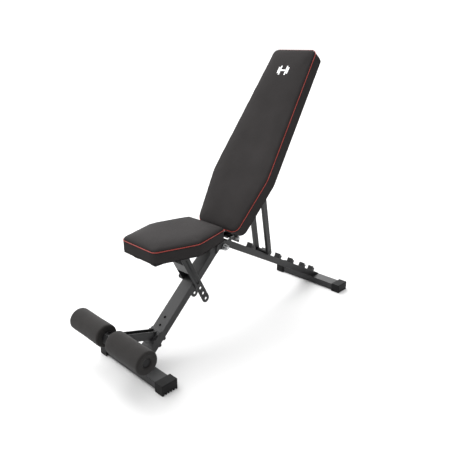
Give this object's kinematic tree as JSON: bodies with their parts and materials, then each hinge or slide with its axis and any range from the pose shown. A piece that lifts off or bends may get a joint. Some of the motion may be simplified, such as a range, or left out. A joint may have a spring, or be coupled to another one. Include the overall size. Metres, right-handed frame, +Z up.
{
  "type": "adjustable weight bench",
  "caption": "Folding adjustable weight bench with a tilting back pad, a tilting seat, a ladder of catches for the prop and a pair of foam foot rollers.",
  "frame": {"origin": "on the floor under the middle of the bench", "axes": "+X from the foot rollers to the head end, +Y to the left across the bench, +Z up"},
  "size_m": [1.1009, 0.362, 0.976],
  "materials": {
    "powder_coat": "fine satin powder coat, near black",
    "zinc": "bright zinc plate",
    "vinyl": "matte grained vinyl, charcoal",
    "board": "black non-woven backing over plywood",
    "foam": "matte closed-cell foam, dark grey",
    "cap_rubber": "matte moulded black",
    "black_plastic": "matte moulded black"
  },
  "bodies": {
    "base_frame": {"front_stabilizer": "powder_coat", "front_foot_caps": "cap_rubber", "main_tube": "powder_coat", "seat_pin_sleeve": "zinc", "pivot_bracket_left": "powder_coat", "pivot_bracket_right": "powder_coat", "leg_hinge_bolt": "zinc", "leg_hinge_nut": "zinc", "back_hinge_bolt": "zinc", "back_hinge_nut": "zinc", "seat_hinge_posts": "powder_coat", "seat_hinge_pin": "zinc", "seat_hinge_clip": "zinc", "roller_arm": "powder_coat", "roller_arm_plug": "black_plastic", "roller_arm_plate": "powder_coat", "roller_arm_bolts": "powder_coat", "roller_arm_nuts": "powder_coat", "roller_axle": "powder_coat", "roller_spacers": "black_plastic", "roller_end_caps": "black_plastic", "seat_plunger_bracket": "powder_coat", "seat_plunger_housing": "zinc", "fold_plunger_housing": "zinc"},
    "rear_leg": {"rear_tube": "powder_coat", "leg_hinge_sleeve": "powder_coat", "rear_stabilizer": "powder_coat", "rear_foot_caps": "cap_rubber", "ladder_catches": "powder_coat"},
    "backrest": {"back_cushion": "vinyl", "back_board": "board", "back_rail_left": "powder_coat", "back_rail_right": "powder_coat", "back_frame_ties": "powder_coat", "back_board_screws": "zinc", "back_hinge_bracket": "powder_coat", "support_arm_bolt": "zinc", "support_arm_nut": "zinc", "support_arm_bushes": "black_plastic"},
    "support_arm": {"support_arm_legs": "powder_coat", "support_arm_rod": "powder_coat", "support_arm_tube": "powder_coat"},
    "seat": {"seat_cushion": "vinyl", "seat_board": "board", "seat_rails": "powder_coat", "seat_rear_tie": "powder_coat", "seat_board_screws": "zinc", "seat_strut_bracket": "powder_coat", "seat_hinge_plates": "powder_coat", "strut_bolt": "powder_coat", "strut_nut": "powder_coat"},
    "seat_strut": {"seat_strut": "powder_coat"},
    "roller_left": {"foam_roller_left": "foam", "roller_core_left": "black_plastic"},
    "roller_right": {"foam_roller_right": "foam", "roller_core_right": "black_plastic"},
    "seat_plunger": {"seat_plunger_pin": "zinc", "seat_plunger_knob": "black_plastic"},
    "fold_plunger": {"fold_plunger_pin": "zinc", "fold_plunger_knob": "black_plastic"}
  },
  "joints": [
    {"name": "back_tilt", "type": "hinge", "parent": "base_frame", "child": "backrest", "pos_m": [0.01045, 0, 0.346], "axis": [0, -1, 0], "range_deg": [0, 21]},
    {"name": "support_swing", "type": "hinge", "parent": "backrest", "child": "support_arm", "pos_m": [0.12665, 0, 0.5693], "axis": [0, -1, 0], "range_deg": [-10.7, 0]},
    {"name": "seat_tilt", "type": "hinge", "parent": "base_frame", "child": "seat", "pos_m": [-0.10355, 0, 0.368], "axis": [0, 1, 0], "range_deg": [0, 25.14]},
    {"name": "strut_swing", "type": "hinge", "parent": "seat", "child": "seat_strut", "pos_m": [-0.23774, 0, 0.3445], "axis": [0, 1, 0], "range_deg": [-15.7, 0]},
    {"name": "leg_fold", "type": "hinge", "parent": "base_frame", "child": "rear_leg", "pos_m": [-0.05155, 0, 0.327], "axis": [0, 1, 0], "range_deg": [0, 100]},
    {"name": "roller_spin_left", "type": "hinge", "parent": "base_frame", "child": "roller_left", "pos_m": [-0.51315, 0, 0.1507], "axis": [0, 1, 0], "continuous": true},
    {"name": "roller_spin_right", "type": "hinge", "parent": "base_frame", "child": "roller_right", "pos_m": [-0.51315, 0, 0.1507], "axis": [0, 1, 0], "continuous": true},
    {"name": "seat_plunger_pull", "type": "slide", "parent": "base_frame", "child": "seat_plunger", "axis": [0, 1, 0], "range_m": [-0.0095, 0]},
    {"name": "fold_plunger_pull", "type": "slide", "parent": "base_frame", "child": "fold_plunger", "axis": [0, 1, 0], "range_m": [-0.0075, 0]}
  ],
  "couplings": [
    {"joint": "support_swing", "follows": "back_tilt", "ratio": -0.5},
    {"joint": "strut_swing", "follows": "seat_tilt", "ratio": -0.61851}
  ]
}
